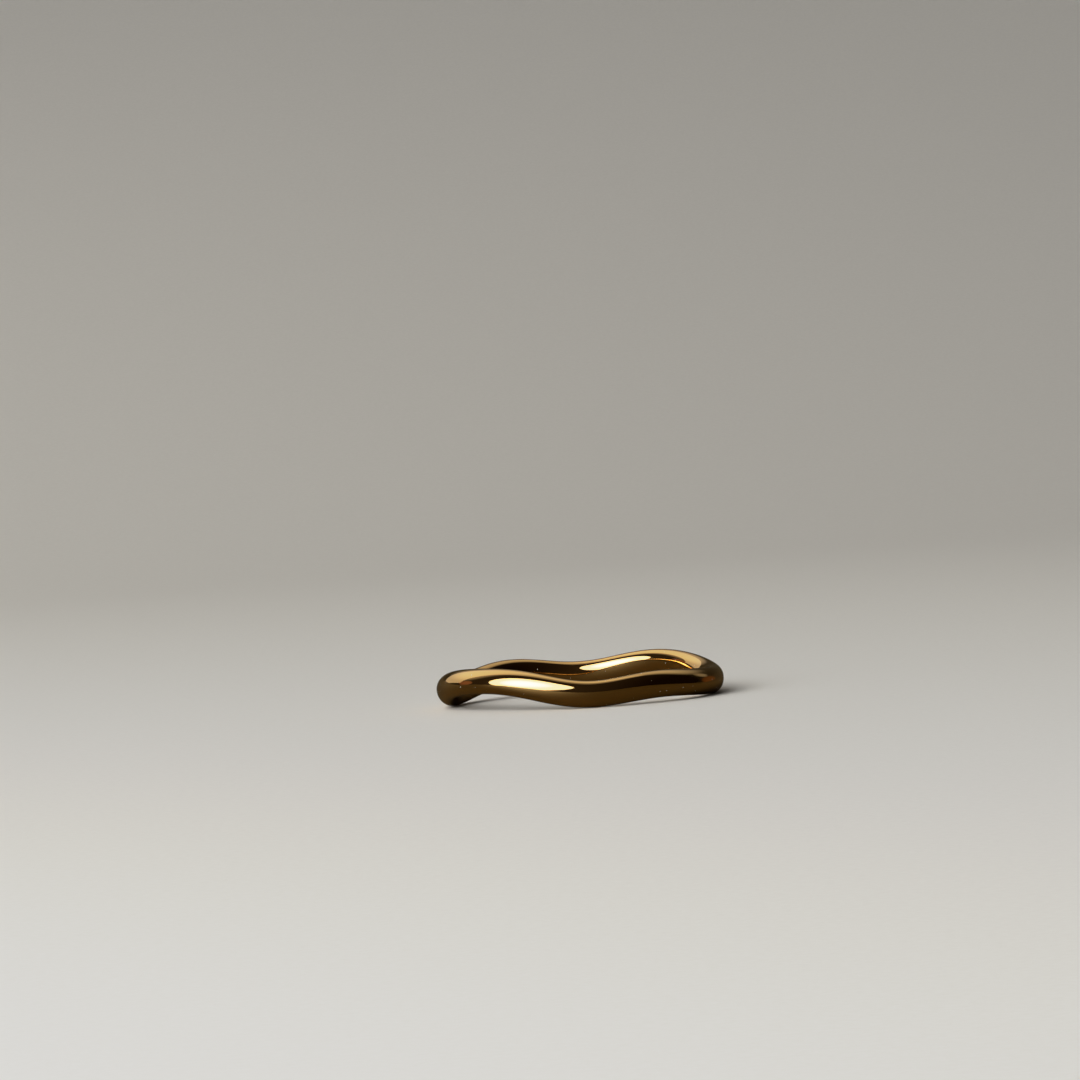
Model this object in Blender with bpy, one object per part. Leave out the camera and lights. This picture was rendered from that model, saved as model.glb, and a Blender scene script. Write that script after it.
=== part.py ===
"""A stackable ring: one polished band of oval wire that waves up and down as it goes round the
finger, and leans as it waves.

The ring lies on its side, as it does on a table. It rests on three of its four low points, so its
axis stands almost upright along +Z. The origin is at the bottom, in the middle of the ring.
Angles go round the ring from +X towards +Y, and -Y is the front.
"""
import bpy
from collections import namedtuple
from math import cos, pi, radians, sin
from mathutils import Vector

# Sizes in metres
INNER_DIAMETER = 0.01734    # finger opening, across the middle of the band
BAND_THICKNESS = 0.00152    # section, from the finger side to the outside
BAND_HEIGHT = 0.00192       # section, along the finger
WAVE_HEIGHT = 0.00118       # the middle of the band, from its lowest point to its highest
GREATEST_LEAN = radians(43)    # how far the section leans where it leans most
INNER_FULLNESS = 0.04       # the share by which the finger side bulges past an oval above and below

# How finely the band is divided
STATIONS = 96               # sections round the ring
PROFILE_SIDES = 24          # sides of each oval section

# The wave, a row for each sixteenth of a turn. rise is a share of WAVE_HEIGHT, above the wave's
# lowest level. lean is a share of GREATEST_LEAN, and a section with a lean above 0 has its top
# tipped in, so that its outer face looks up.
Row = namedtuple("Row", "rise lean")
WAVE_ROWS = (
    Row(rise=0.00, lean=-0.26),    # right end
    Row(rise=0.37, lean=0.05),
    Row(rise=0.82, lean=0.62),     # crest at the back right
    Row(rise=0.64, lean=0.41),
    Row(rise=0.26, lean=0.01),     # back
    Row(rise=0.62, lean=0.00),
    Row(rise=0.52, lean=-0.03),    # low crest at the back left
    Row(rise=0.00, lean=-0.38),
    Row(rise=0.22, lean=-0.34),    # left end
    Row(rise=0.80, lean=0.42),
    Row(rise=1.00, lean=1.00),     # crest at the front left
    Row(rise=0.66, lean=0.45),
    Row(rise=0.00, lean=-0.46),    # front
    Row(rise=0.16, lean=-0.18),
    Row(rise=0.22, lean=0.45),     # shoulder at the front right
    Row(rise=0.04, lean=0.22),
)

GOLD_COLOUR = (0.90, 0.60, 0.22, 1.0)
GOLD_ROUGHNESS = 0.12


def around(shares, angle):
    """The smoothest closed curve through an even number of values, evenly spaced round a turn."""
    count = len(shares)
    total = 0.0
    for index, share in enumerate(shares):
        off = angle - 2 * pi * index / count
        waves = sum(cos(wave * off) for wave in range(1, count // 2))
        total += share * (1 + 2 * waves + cos(count * off / 2)) / count
    return total


def ring_path():
    """The middle of the band: its points round the ring, and the lean of the section at each."""
    path_radius = (INNER_DIAMETER + BAND_THICKNESS) / 2
    rises = [row.rise for row in WAVE_ROWS]
    leans = [row.lean for row in WAVE_ROWS]
    points = []
    tilts = []
    for station in range(STATIONS):
        angle = 2 * pi * station / STATIONS
        height = WAVE_HEIGHT * around(rises, angle)
        points.append(Vector((path_radius * cos(angle), path_radius * sin(angle), height)))
        tilts.append(-GREATEST_LEAN * around(leans, angle))
    return points, tilts


def closed_curve(name, points, tilts, collection):
    """A closed curve object through the points, turned by a tilt at each."""
    curve = bpy.data.curves.new(name, "CURVE")
    curve.dimensions = "3D"
    curve.twist_mode = "Z_UP"
    spline = curve.splines.new("POLY")
    spline.points.add(len(points) - 1)
    for spline_point, point, tilt in zip(spline.points, points, tilts):
        spline_point.co = (*point, 1.0)
        spline_point.tilt = tilt
    spline.use_cyclic_u = True
    spline.use_smooth = True
    curve_object = bpy.data.objects.new(name, curve)
    collection.objects.link(curve_object)
    return curve_object


def oval_profile(collection):
    """The band's section, an oval that is a little fuller on the finger side. It is a guide that
    gives the curve its shape, and isn't part of the ring."""
    points = []
    for side in range(PROFILE_SIDES):
        angle = -2 * pi * side / PROFILE_SIDES
        fullness = INNER_FULLNESS * sin(2 * angle) ** 2 if cos(angle) < 0 else 0.0
        across = BAND_THICKNESS / 2 * cos(angle) * (1 + fullness)
        along = BAND_HEIGHT / 2 * sin(angle) * (1 + fullness)
        points.append(Vector((across, along, 0)))
    profile = closed_curve("oval_profile_guide", points, [0.0] * PROFILE_SIDES, collection)
    profile.hide_render = True
    profile.display_type = "WIRE"
    return profile


def gold_material():
    material = bpy.data.materials.new("polished_gold")
    material.use_nodes = True
    shader = material.node_tree.nodes["Principled BSDF"]
    shader.inputs["Base Color"].default_value = GOLD_COLOUR
    shader.inputs["Metallic"].default_value = 1.0
    shader.inputs["Roughness"].default_value = GOLD_ROUGHNESS
    return material


def stand_on_floor(band):
    """Moves the band so that its lowest point is at Z = 0 and its box is centred on the origin."""
    bpy.context.view_layer.update()
    evaluated = band.evaluated_get(bpy.context.evaluated_depsgraph_get())
    mesh = evaluated.to_mesh()
    corners = [vertex.co.copy() for vertex in mesh.vertices]
    evaluated.to_mesh_clear()
    low = [min(corner[axis] for corner in corners) for axis in range(3)]
    high = [max(corner[axis] for corner in corners) for axis in range(3)]
    band.location = (-(low[0] + high[0]) / 2, -(low[1] + high[1]) / 2, -low[2])


def build_ring():
    for old in list(bpy.data.objects):
        bpy.data.objects.remove(old, do_unlink=True)
    ring = bpy.data.collections.new("stackable_ring")
    guides = bpy.data.collections.new("guides")
    bpy.context.scene.collection.children.link(ring)
    bpy.context.scene.collection.children.link(guides)

    points, tilts = ring_path()
    band = closed_curve("ring_band", points, tilts, ring)
    band.data.bevel_mode = "OBJECT"
    band.data.bevel_object = oval_profile(guides)
    band.data.materials.append(gold_material())
    stand_on_floor(band)


build_ring()
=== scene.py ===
"""The looks of a stackable ring: a polished gold band on a pale studio floor.

The camera looks along +Y, a little from above, and the ring lies on the floor at Z = 0.
Lengths are in metres. A direction from the ring is an azimuth and an elevation in degrees, where
azimuth 0 is the camera's side, -90 the camera's left and 180 behind the ring.
"""
from collections import namedtuple
from math import cos, pi, radians, sin

import bmesh
import bpy
from mathutils import Matrix, Quaternion, Vector


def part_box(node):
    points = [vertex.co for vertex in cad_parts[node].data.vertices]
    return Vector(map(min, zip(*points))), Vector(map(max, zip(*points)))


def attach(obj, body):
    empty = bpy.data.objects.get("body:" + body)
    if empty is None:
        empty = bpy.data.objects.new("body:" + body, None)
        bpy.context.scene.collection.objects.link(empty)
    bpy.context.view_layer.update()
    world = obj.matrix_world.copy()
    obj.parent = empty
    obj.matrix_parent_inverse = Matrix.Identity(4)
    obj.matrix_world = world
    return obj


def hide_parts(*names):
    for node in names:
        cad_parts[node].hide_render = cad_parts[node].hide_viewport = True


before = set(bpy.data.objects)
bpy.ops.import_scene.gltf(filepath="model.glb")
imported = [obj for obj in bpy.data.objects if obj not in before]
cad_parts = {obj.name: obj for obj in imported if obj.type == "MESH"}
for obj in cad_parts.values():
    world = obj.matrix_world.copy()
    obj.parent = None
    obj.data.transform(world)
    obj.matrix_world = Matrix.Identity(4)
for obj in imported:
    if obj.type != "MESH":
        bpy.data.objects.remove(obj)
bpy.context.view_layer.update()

# Camera
IMAGE_SIDE = 1080                 # pixels, width and height of the picture
CAMERA_DISTANCE = 0.396
CAMERA_AZIMUTH = -0.6
CAMERA_ELEVATION = 3.37
CAMERA_ROLL = radians(3.59)       # the right end of the ring stands higher in the picture
PICTURE_WIDTH = 0.07658           # what the picture spans at the ring's distance
RING_PIXEL = (579.9, 678.8)       # where the middle of the ring falls in the picture
SENSOR_WIDTH = 36.0               # millimetres
CLIP_START = 0.01
CLIP_END = 20.0

# The camera's tone curve: tones for the light that reaches it, with a soft shoulder
BRIGHTEST_LIGHT = 6.0
SHOULDER = ((0.30, 0.30), (0.55, 0.55), (0.80, 0.72), (1.40, 0.85), (2.4, 0.94))
COMBINED_CURVE = 3                # the one after red, green and blue

# Studio sweep
FLOOR_HALF_WIDTH = 2.4
FLOOR_FRONT = -1.6
SWEEP_START = 0.25                # where the floor starts to rise behind the ring
SWEEP_RADIUS = 0.80
BACKDROP_TOP = 1.6
SWEEP_STEPS = 48

# Paper, and the darker painted reflection tones that the metal mirrors in its place, beside the ring and
# at the backdrop
PALE_TONES = ((0.76, 0.745, 0.70, 1), (0.82, 0.805, 0.76, 1))
PAINTED_REFLECTION_NEAR = (0.062, 0.046, 0.020, 1)
PAINTED_REFLECTION_FAR = (0.17, 0.15, 0.10, 1)
PAPER_ROUGHNESS = 0.6
PAPER_GLOSS = 0.05
FIBRE_SPACING = 0.0005
FIBRE_DETAIL = 4

# Lights, all at one distance. width, height and radiance are those of a panel that faces the ring.
# rim is the share of the radiance that is left at the panel's rim. It falls to that from fall_from
# to fall_to, shares of the way out from the middle. far_end is what is left at its own -X end.
LIGHT_DISTANCE = 0.60
PANEL_MIDDLE = 0.5                # a panel's own coordinates run from 0 to 1
FAR_END_REACH = 0.87              # the share of the panel's length over which that end brightens
WHITE = (1.0, 1.0, 1.0)
CREAM = (1.0, 0.97, 0.92)
AMBER = (1.0, 0.47, 0.30)
EMBER = (1.0, 0.36, 0.06)
Light = namedtuple("Light", "name outline azimuth elevation roll width height radiance tone "
                            "rim fall_from fall_to far_end")
LIGHTS = (
    Light("window_softbox", "ELLIPSE", -43, 26, -40, 0.65, 0.90, 12.0, WHITE, 0.19, 0.0, 0.66, 1.0),
    Light("overhead_panel", "ELLIPSE", -166, 54, -13, 1.96, 0.87, 0.40, CREAM, 0.0, 0.31, 1.0, 1.0),
    Light("side_reflector", "RECTANGLE", -141, 53, -74, 1.29, 0.43, 0.45, CREAM, 1.0, 0.0, 1.0, 0.32),
    Light("warm_card_left", "ELLIPSE", -107, 9, 0, 0.20, 0.20, 0.15, AMBER, 0.8, 0.5, 1.0, 1.0),
    Light("warm_card_right", "ELLIPSE", 127, 5, 0, 0.25, 0.22, 0.06, EMBER, 0.8, 0.5, 1.0, 1.0),
    Light("pale_card_right", "ELLIPSE", 128, 23, 0, 0.15, 0.17, 0.15, CREAM, 0.4, 0.4, 1.0, 1.0),
)

# The room past the sweep, which has one paler side, and what the camera sees in its place
ROOM_TONES = ((0.0042, 0.0022, 0.001, 1), (0.021, 0.0155, 0.011, 1))
ROOM_PALER_SIDE = -85             # azimuth
ROOM_REACH = (145, 85)            # degrees from that side: dark beyond the first, pale within the second
BACKDROP_TONE = (0.30, 0.295, 0.27, 1)

# Ring
WELD_DISTANCE = 1e-7
SUBDIVISION_LEVELS = 2
PATH_RADIUS = 0.0095              # about the middle of the band, from the ring's axis

# Gold
GOLD_TONES = ((1.0, 0.625, 0.24, 1), (0.97, 0.60, 0.215, 1))
POLISH = (0.035, 0.075)           # roughness where it is brightest and where it is dullest
PATCH_SPACING = 0.0014            # duller patches
PATCH_DETAIL = 3
PATCH_REACH = (0.35, 0.75)        # noise levels where the gold is brightest and where it is dullest

# Marks: soft swells left by polishing, polishing lines along the band, and a few faint scratches
SWELL_SPACING = 0.0024
SWELL_DETAIL = 1
SWELL_DEPTH = 6e-6
LINE_LENGTH = 0.002
LINE_WIDTH = 4e-5
LINE_DETAIL = 3
LINE_CONTRAST = 0.6
LINE_DEPTH = 2e-7
HAIRLINE_LENGTH = 0.0045
HAIRLINE_SPACING = 0.0007
HAIRLINE_DETAIL = 1
HAIRLINE_LEVEL = 0.5              # the noise level that a scratch follows
HAIRLINE_REACH = 0.03             # how far from that level it is cut
HAIRLINE_STRETCHES = (0.50, 0.60)    # noise levels without scratches and with all of them
HAIRLINE_DEPTH = 1.5e-7

# Dust
DUST_SPACING = 0.00042
DUST_SIZE = 7e-5                  # the largest speck
DUST_TONE = (0.62, 0.58, 0.50, 1)
DUST_ROUGHNESS = 0.7


def grid_diagonals(form):
    """The edges that cut the band's four-sided faces in two.

    Every corner of the band meets six edges, so the edges form three families of parallel lines:
    round the sections, along the band, and the diagonals, which are the longest in all.
    """
    first = form.faces[0]
    family = {edge: number for number, edge in enumerate(first.edges)}
    waiting = [first]
    while waiting:
        face = waiting.pop()
        for shared in face.edges:
            beyond = next(other for other in shared.link_faces if other != face)
            unnamed = [edge for edge in beyond.edges if edge not in family]
            for edge in unnamed:
                family[edge] = next(family[known] for known in face.edges
                                    if known != shared and not set(known.verts) & set(edge.verts))
            if unnamed:
                waiting.append(beyond)
    lengths = [sum(edge.calc_length() for edge in family if family[edge] == number)
               for number in range(len(first.edges))]
    return [edge for edge in family if family[edge] == lengths.index(max(lengths))]


def clean_quads(node, name):
    """A copy of a CAD node's mesh, with its triangles joined into the four-sided faces of its grid."""
    mesh = node.data.copy()
    mesh.name = name
    mesh.materials.clear()
    form = bmesh.new()
    form.from_mesh(mesh)
    bmesh.ops.remove_doubles(form, verts=form.verts, dist=WELD_DISTANCE)
    form.faces.ensure_lookup_table()
    bmesh.ops.dissolve_edges(form, edges=grid_diagonals(form), use_verts=False)
    for face in form.faces:
        face.smooth = True
    form.to_mesh(mesh)
    form.free()
    mesh.update()
    piece = bpy.data.objects.new(name, mesh)
    bpy.context.scene.collection.objects.link(piece)
    return piece


def node_maker(owner):
    """A helper that adds a node to a material, light or world, with its settings and inputs."""
    tree = owner.node_tree

    def make(kind, inputs=(), **settings):
        node = tree.nodes.new(kind)
        for key, value in settings.items():
            setattr(node, key, value)
        for key, value in dict(inputs).items():
            if isinstance(value, bpy.types.NodeSocket):
                tree.links.new(value, node.inputs[key])
            else:
                node.inputs[key].default_value = value
        return node

    return make


def arithmetic(make, operation, *values):
    """The result of one sum on numbers."""
    return make("ShaderNodeMath", dict(enumerate(values)), operation=operation).outputs[0]


def scaled(make, place, factors):
    """Coordinates multiplied by a factor for each axis."""
    return make("ShaderNodeVectorMath", {0: place, 1: factors}, operation="MULTIPLY").outputs[0]


def ramp(make, value, reach, levels=(0.0, 1.0), steps="LINEAR"):
    """A level that goes from the first to the second while the value goes through its reach."""
    return make("ShaderNodeMapRange", {
        "Value": value, "From Min": reach[0], "From Max": reach[1],
        "To Min": levels[0], "To Max": levels[1]}, interpolation_type=steps).outputs[0]


def blend(make, share, first, second):
    """A colour that goes from the first to the second as the share goes from 0 to 1."""
    return make("ShaderNodeMix", {"Factor": share, "A": first, "B": second},
                data_type="RGBA").outputs["Result"]


def noise(make, place, spacing, detail):
    """Smooth random levels, about 0.5 on average, which change over about that spacing."""
    return make("ShaderNodeTexNoise", {
        "Vector": place, "Scale": 1 / spacing, "Detail": detail}).outputs["Fac"]


def relief(make, height, depth, below=None, cut_in=False):
    """The surface's direction with marks of that depth, over the marks below."""
    inputs = {"Height": height, "Strength": 1.0, "Distance": depth}
    if below is not None:
        inputs["Normal"] = below
    return make("ShaderNodeBump", inputs, invert=cut_in).outputs["Normal"]


def band_place(make, place):
    """Coordinates that run along the band: the way round the ring, the radius and the height."""
    parts = make("ShaderNodeSeparateXYZ", {0: place})
    turn = arithmetic(make, "ARCTAN2", parts.outputs["Y"], parts.outputs["X"])
    way_round = arithmetic(make, "MULTIPLY", turn, PATH_RADIUS)
    level = scaled(make, place, (1, 1, 0))
    radius = make("ShaderNodeVectorMath", {0: level}, operation="LENGTH").outputs["Value"]
    return make("ShaderNodeCombineXYZ", {
        "X": way_round, "Y": radius, "Z": parts.outputs["Z"]}).outputs[0]


def dust(make, place):
    """1 in a speck of dust and 0 elsewhere. The specks are spread through space, and the surface
    meets a few of them."""
    cells = make("ShaderNodeTexVoronoi", {"Vector": place, "Scale": 1 / DUST_SPACING})
    chance = make("ShaderNodeSeparateXYZ", {0: cells.outputs["Color"]}).outputs["X"]
    reach = arithmetic(make, "MULTIPLY", chance, DUST_SIZE / 2 / DUST_SPACING)
    return arithmetic(make, "LESS_THAN", cells.outputs["Distance"], reach)


def hairlines(make, along_band):
    """Fine scratches: 1 in the middle of a scratch, falling to 0 at its sides. Some stretches of the
    band have none."""
    stretched = scaled(make, along_band,
                       (1 / HAIRLINE_LENGTH, 1 / HAIRLINE_SPACING, 1 / HAIRLINE_SPACING))
    levels = noise(make, stretched, 1.0, HAIRLINE_DETAIL)
    aside = arithmetic(make, "SUBTRACT", levels, HAIRLINE_LEVEL)
    off_line = arithmetic(make, "ABSOLUTE", aside)
    cut = ramp(make, off_line, (0.0, HAIRLINE_REACH), (1.0, 0.0), "SMOOTHSTEP")
    stretches = noise(make, along_band, HAIRLINE_LENGTH, HAIRLINE_DETAIL)
    kept = ramp(make, stretches, HAIRLINE_STRETCHES)
    return arithmetic(make, "MULTIPLY", cut, kept)


def polishing_lines(make, along_band):
    """Random levels that change fast across the band and slowly along it."""
    stretched = scaled(make, along_band, (1 / LINE_LENGTH, 1 / LINE_WIDTH, 1 / LINE_WIDTH))
    return make("ShaderNodeTexNoise", {
        "Vector": stretched, "Scale": 1.0, "Detail": LINE_DETAIL,
        "Roughness": LINE_CONTRAST}).outputs["Fac"]


def marks(make, place):
    """The surface's direction with its swells, polishing lines and scratches."""
    along_band = band_place(make, place)
    swells = relief(make, noise(make, place, SWELL_SPACING, SWELL_DETAIL), SWELL_DEPTH)
    lines = relief(make, polishing_lines(make, along_band), LINE_DEPTH, below=swells)
    return relief(make, hairlines(make, along_band), HAIRLINE_DEPTH, below=lines, cut_in=True)


def gold():
    """Polished gold, with the marks and dust that show when it is seen from near."""
    material = bpy.data.materials.new("polished_gold")
    material.use_nodes = True
    shader = material.node_tree.nodes["Principled BSDF"]
    make = node_maker(material)
    link = material.node_tree.links.new
    place = make("ShaderNodeTexCoord").outputs["Object"]
    specks = dust(make, place)
    patches = noise(make, place, PATCH_SPACING, PATCH_DETAIL)
    polish = ramp(make, patches, PATCH_REACH, POLISH)
    roughness = make("ShaderNodeMix", {"Factor": specks, "A": polish, "B": DUST_ROUGHNESS})
    link(roughness.outputs[0], shader.inputs["Roughness"])
    tone = blend(make, specks, blend(make, patches, *GOLD_TONES), DUST_TONE)
    link(tone, shader.inputs["Base Color"])
    link(arithmetic(make, "SUBTRACT", 1.0, specks), shader.inputs["Metallic"])
    link(marks(make, place), shader.inputs["Normal"])
    return material


def polished_band():
    """The ring itself: the CAD band made smooth, in gold."""
    band = clean_quads(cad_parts["ring_band"], "polished_band")
    smooth = band.modifiers.new("smooth", "SUBSURF")
    smooth.levels = SUBDIVISION_LEVELS
    smooth.render_levels = SUBDIVISION_LEVELS
    band.data.materials.append(gold())
    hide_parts("ring_band")
    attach(band, "root")


def paper():
    """Pale matt paper. Rays mirrored in the metal get much darker tones painted in, a painted
    reflection, and so the metal keeps the deep colour that it has in the photograph."""
    material = bpy.data.materials.new("pale_paper")
    material.use_nodes = True
    shader = material.node_tree.nodes["Principled BSDF"]
    shader.inputs["Roughness"].default_value = PAPER_ROUGHNESS
    shader.inputs["Specular IOR Level"].default_value = PAPER_GLOSS
    make = node_maker(material)
    place = make("ShaderNodeTexCoord").outputs["Object"]
    pale = blend(make, noise(make, place, FIBRE_SPACING, FIBRE_DETAIL), *PALE_TONES)
    depth = make("ShaderNodeSeparateXYZ", {0: place}).outputs["Y"]
    towards_backdrop = ramp(make, depth, (0.0, SWEEP_START + SWEEP_RADIUS))
    # painted reflection: rays mirrored in the metal see these darker tones in place of the pale paper
    painted_reflection = blend(make, towards_backdrop, PAINTED_REFLECTION_NEAR, PAINTED_REFLECTION_FAR)
    in_metal = make("ShaderNodeLightPath").outputs["Is Glossy Ray"]
    tone = blend(make, in_metal, pale, painted_reflection)
    material.node_tree.links.new(tone, shader.inputs["Base Color"])
    return material


def studio_sweep():
    """A floor that curves up into a backdrop behind the ring."""
    outline = [(FLOOR_FRONT, 0.0)]
    for step in range(SWEEP_STEPS + 1):
        angle = pi / 2 * step / SWEEP_STEPS
        outline.append((SWEEP_START + SWEEP_RADIUS * sin(angle), SWEEP_RADIUS * (1 - cos(angle))))
    outline.append((SWEEP_START + SWEEP_RADIUS, BACKDROP_TOP))
    form = bmesh.new()
    rows = [[form.verts.new((side * FLOOR_HALF_WIDTH, y, z)) for side in (-1, 1)]
            for y, z in outline]
    for near, far in zip(rows, rows[1:]):
        form.faces.new((near[0], near[1], far[1], far[0])).smooth = True
    mesh = bpy.data.meshes.new("studio_sweep")
    form.to_mesh(mesh)
    form.free()
    sweep = bpy.data.objects.new("studio_sweep", mesh)
    sweep.data.materials.append(paper())
    bpy.context.scene.collection.objects.link(sweep)


def direction(azimuth, elevation):
    """The unit vector from the ring towards a place: azimuth 0 is the camera's side, -90 its left."""
    return Vector((sin(radians(azimuth)) * cos(radians(elevation)),
                   -cos(radians(azimuth)) * cos(radians(elevation)),
                   sin(radians(elevation))))


def panel_glow(lamp, row):
    """Makes a panel brightest in its middle, and dimmer towards its rim and its own -X end."""
    lamp.use_nodes = True
    make = node_maker(lamp)
    on_panel = make("ShaderNodeNewGeometry").outputs["Parametric"]
    middle = (PANEL_MIDDLE, PANEL_MIDDLE, 0)
    outward = make("ShaderNodeVectorMath", {0: on_panel, 1: middle}, operation="DISTANCE")
    rim_reach = (PANEL_MIDDLE * row.fall_from, PANEL_MIDDLE * row.fall_to)
    by_rim = ramp(make, outward.outputs["Value"], rim_reach, (1.0, row.rim), "SMOOTHSTEP")
    lengthwise = make("ShaderNodeSeparateXYZ", {0: on_panel}).outputs["X"]
    by_end = ramp(make, lengthwise, (0.0, FAR_END_REACH), (row.far_end, 1.0), "SMOOTHSTEP")
    strength = arithmetic(make, "MULTIPLY", by_rim, by_end)
    lamp.node_tree.links.new(strength, lamp.node_tree.nodes["Emission"].inputs["Strength"])


def soft_light(row):
    """A panel that faces the ring and that the camera doesn't see."""
    lamp = bpy.data.lights.new(row.name, "AREA")
    lamp.shape = row.outline
    lamp.size = row.width
    lamp.size_y = row.height
    area = row.width * row.height * (pi / 4 if row.outline == "ELLIPSE" else 1)
    lamp.energy = pi * area * row.radiance
    lamp.color = row.tone
    panel_glow(lamp, row)
    panel = bpy.data.objects.new(row.name, lamp)
    away = direction(row.azimuth, row.elevation)
    turned = away.to_track_quat("Z", "Y") @ Quaternion((0, 0, 1), radians(row.roll))
    panel.location = away * LIGHT_DISTANCE
    panel.rotation_euler = turned.to_euler()
    panel.visible_camera = False
    bpy.context.scene.collection.objects.link(panel)


def dim_room():
    """A dark room with one paler side, which the metal mirrors, behind a plain grey that only the
    camera sees."""
    world = bpy.data.worlds.new("dim_room")
    bpy.context.scene.world = world
    world.use_nodes = True
    make = node_maker(world)
    link = world.node_tree.links.new
    room = world.node_tree.nodes["Background"]
    ray = make("ShaderNodeTexCoord").outputs["Generated"]
    facing = make("ShaderNodeVectorMath", {0: ray, 1: direction(ROOM_PALER_SIDE, 0)},
                  operation="DOT_PRODUCT")
    paleness = ramp(make, facing.outputs["Value"], [cos(radians(angle)) for angle in ROOM_REACH])
    link(blend(make, paleness, *ROOM_TONES), room.inputs["Color"])
    backdrop = make("ShaderNodeBackground", {"Color": BACKDROP_TONE})
    seen = make("ShaderNodeMixShader", {"Fac": make("ShaderNodeLightPath").outputs["Is Camera Ray"]})
    link(room.outputs[0], seen.inputs[1])
    link(backdrop.outputs[0], seen.inputs[2])
    link(seen.outputs[0], world.node_tree.nodes["World Output"].inputs["Surface"])


def photo_camera():
    """The camera at the photograph's angle, turned so that the ring falls on its own pixel."""
    low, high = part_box("ring_band")
    middle = (low + high) / 2
    away = direction(CAMERA_AZIMUTH, CAMERA_ELEVATION)
    level_right = direction(CAMERA_AZIMUTH + 90, 0)
    level_up = away.cross(level_right)
    right = level_right * cos(CAMERA_ROLL) - level_up * sin(CAMERA_ROLL)
    up = level_right * sin(CAMERA_ROLL) + level_up * cos(CAMERA_ROLL)

    pixel = PICTURE_WIDTH / IMAGE_SIDE
    aside = (RING_PIXEL[0] - IMAGE_SIDE / 2) * pixel
    below = (RING_PIXEL[1] - IMAGE_SIDE / 2) * pixel
    aim = -away * CAMERA_DISTANCE - right * aside + up * below

    data = bpy.data.cameras.new("photo_camera")
    data.sensor_width = SENSOR_WIDTH
    data.lens = SENSOR_WIDTH * CAMERA_DISTANCE / PICTURE_WIDTH
    data.clip_start = CLIP_START
    data.clip_end = CLIP_END
    camera = bpy.data.objects.new("photo_camera", data)
    back = -aim.normalized()
    across = up.cross(back).normalized()
    camera_axes = Matrix((across, back.cross(across), back)).transposed()
    camera.matrix_world = Matrix.Translation(middle + away * CAMERA_DISTANCE) @ camera_axes.to_4x4()
    bpy.context.scene.collection.objects.link(camera)
    bpy.context.scene.camera = camera


def camera_response():
    """A camera's tone curve: true up to the middle tones, with a soft shoulder for the highlights."""
    view = bpy.context.scene.view_settings
    view.view_transform = "Standard"
    view.use_curve_mapping = True
    view.curve_mapping.white_level = [BRIGHTEST_LIGHT] * 3
    curve = view.curve_mapping.curves[COMBINED_CURVE]
    for light, tone in SHOULDER:
        curve.points.new(light / BRIGHTEST_LIGHT, tone)
    for point in curve.points:
        point.handle_type = "AUTO_CLAMPED"
    curve.points[0].handle_type = "VECTOR"
    view.curve_mapping.update()


polished_band()
studio_sweep()
for row in LIGHTS:
    soft_light(row)
dim_room()
photo_camera()
camera_response()
